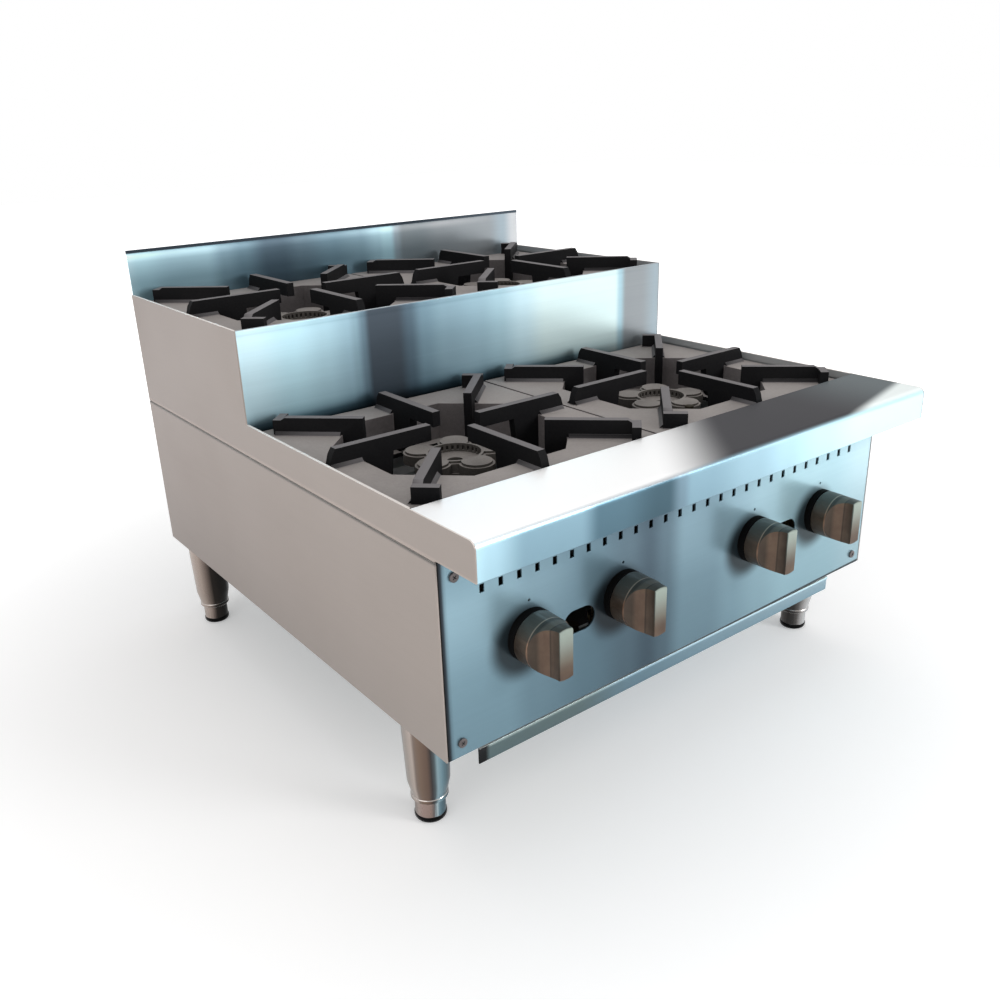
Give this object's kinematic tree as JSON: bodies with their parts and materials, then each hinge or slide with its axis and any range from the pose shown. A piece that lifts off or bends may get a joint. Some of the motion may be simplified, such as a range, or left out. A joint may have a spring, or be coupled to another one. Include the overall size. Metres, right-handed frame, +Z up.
{
  "type": "countertop gas hotplate",
  "caption": "Countertop gas hotplate with a stepped rear deck, lift-out cast grates over open burners, turning tap knobs, a sliding crumb tray and adjustable legs.",
  "frame": {"origin": "on the floor, under the centre of the whole hotplate with its supply stub", "axes": "+X right as seen from the front, +Y towards the back, +Z up"},
  "size_m": [0.61, 0.725, 0.485],
  "materials": {
    "stainless_side": "satin brushed, warm grey",
    "stainless_front": "fine brushed, cool grey",
    "stainless_ledge": "fine brushed",
    "galvanised_inner": "dull sheet steel",
    "frame_steel": "dark heat-resistant coating",
    "tray_steel": "brushed",
    "supply_pipe": "black pipe",
    "brass_parts": "machined brass",
    "stem_steel": "turned",
    "knob_bronze": "satin bronze brown with a pale front face",
    "bezel_black": "black",
    "burner_cast": "cast, matt grey",
    "burner_head_cast": "cast, machined top rims",
    "grate_cast": "grey cast plate with near-black fingers",
    "leg_steel": "satin",
    "foot_grey": "grey foot with a dark pad",
    "screw_steel": "plain pan heads"
  },
  "bodies": {
    "chassis": {"lower_side_left": "stainless_side", "lower_side_right": "stainless_side", "upper_side_left": "stainless_side", "upper_side_right": "stainless_side", "front_panel": "stainless_front", "front_ledge": "stainless_ledge", "riser_panel": "stainless_front", "backsplash": "stainless_front", "back_panel": "galvanised_inner", "front_grate_frame": "frame_steel", "rear_grate_frame": "frame_steel", "front_burner_rail": "galvanised_inner", "rear_burner_rail": "galvanised_inner", "heat_shield": "galvanised_inner", "tray_runner_left": "galvanised_inner", "tray_runner_right": "galvanised_inner", "gas_manifold": "supply_pipe", "gas_inlet_pipe": "supply_pipe", "tap_body_1": "brass_parts", "tap_body_2": "brass_parts", "tap_body_3": "brass_parts", "tap_body_4": "brass_parts", "knob_bezels": "bezel_black", "gas_jets": "brass_parts", "burner_base_front_left": "burner_cast", "burner_base_front_right": "burner_cast", "burner_base_rear_left": "burner_cast", "burner_base_rear_right": "burner_cast", "burner_head_front_left": "burner_head_cast", "burner_head_front_right": "burner_head_cast", "burner_head_rear_left": "burner_head_cast", "burner_head_rear_right": "burner_head_cast", "pilot_line_left": "brass_parts", "pilot_line_right": "brass_parts", "leg_front_left": "leg_steel", "leg_front_right": "leg_steel", "leg_rear_left": "leg_steel", "leg_rear_right": "leg_steel", "leg_sockets": "galvanised_inner", "panel_screws": "screw_steel"},
    "knob_1": {"knob_1": "knob_bronze", "tap_stem_1": "stem_steel"},
    "knob_2": {"knob_2": "knob_bronze", "tap_stem_2": "stem_steel"},
    "knob_3": {"knob_3": "knob_bronze", "tap_stem_3": "stem_steel"},
    "knob_4": {"knob_4": "knob_bronze", "tap_stem_4": "stem_steel"},
    "tray": {"crumb_tray": "tray_steel"},
    "grate_front_left": {"grate_front_left": "grate_cast"},
    "grate_front_right": {"grate_front_right": "grate_cast"},
    "grate_rear_left": {"grate_rear_left": "grate_cast"},
    "grate_rear_right": {"grate_rear_right": "grate_cast"},
    "foot_front_left": {"foot_front_left": "foot_grey"},
    "foot_front_right": {"foot_front_right": "foot_grey"},
    "foot_rear_left": {"foot_rear_left": "foot_grey"},
    "foot_rear_right": {"foot_rear_right": "foot_grey"}
  },
  "joints": [
    {"name": "knob_1_turn", "type": "hinge", "parent": "chassis", "child": "knob_1", "pos_m": [-0.21, -0.3075, 0.2], "axis": [0, -1, 0], "range_deg": [0, 90]},
    {"name": "knob_2_turn", "type": "hinge", "parent": "chassis", "child": "knob_2", "pos_m": [-0.096, -0.3075, 0.2], "axis": [0, -1, 0], "range_deg": [0, 90]},
    {"name": "knob_3_turn", "type": "hinge", "parent": "chassis", "child": "knob_3", "pos_m": [0.096, -0.3075, 0.2], "axis": [0, -1, 0], "range_deg": [0, 90]},
    {"name": "knob_4_turn", "type": "hinge", "parent": "chassis", "child": "knob_4", "pos_m": [0.21, -0.3075, 0.2], "axis": [0, -1, 0], "range_deg": [0, 90]},
    {"name": "tray_slide", "type": "slide", "parent": "chassis", "child": "tray", "axis": [0, -1, 0], "range_m": [0, 0.45]},
    {"name": "grate_front_left_lift", "type": "slide", "parent": "chassis", "child": "grate_front_left", "axis": [0, 0, 1], "range_m": [0, 0.12]},
    {"name": "grate_front_right_lift", "type": "slide", "parent": "chassis", "child": "grate_front_right", "axis": [0, 0, 1], "range_m": [0, 0.12]},
    {"name": "grate_rear_left_lift", "type": "slide", "parent": "chassis", "child": "grate_rear_left", "axis": [0, 0, 1], "range_m": [0, 0.12]},
    {"name": "grate_rear_right_lift", "type": "slide", "parent": "chassis", "child": "grate_rear_right", "axis": [0, 0, 1], "range_m": [0, 0.12]},
    {"name": "foot_front_left_adjust", "type": "slide", "parent": "chassis", "child": "foot_front_left", "axis": [0, 0, -1], "range_m": [0, 0.025]},
    {"name": "foot_front_right_adjust", "type": "slide", "parent": "chassis", "child": "foot_front_right", "axis": [0, 0, -1], "range_m": [0, 0.025]},
    {"name": "foot_rear_left_adjust", "type": "slide", "parent": "chassis", "child": "foot_rear_left", "axis": [0, 0, -1], "range_m": [0, 0.025]},
    {"name": "foot_rear_right_adjust", "type": "slide", "parent": "chassis", "child": "foot_rear_right", "axis": [0, 0, -1], "range_m": [0, 0.025]}
  ]
}
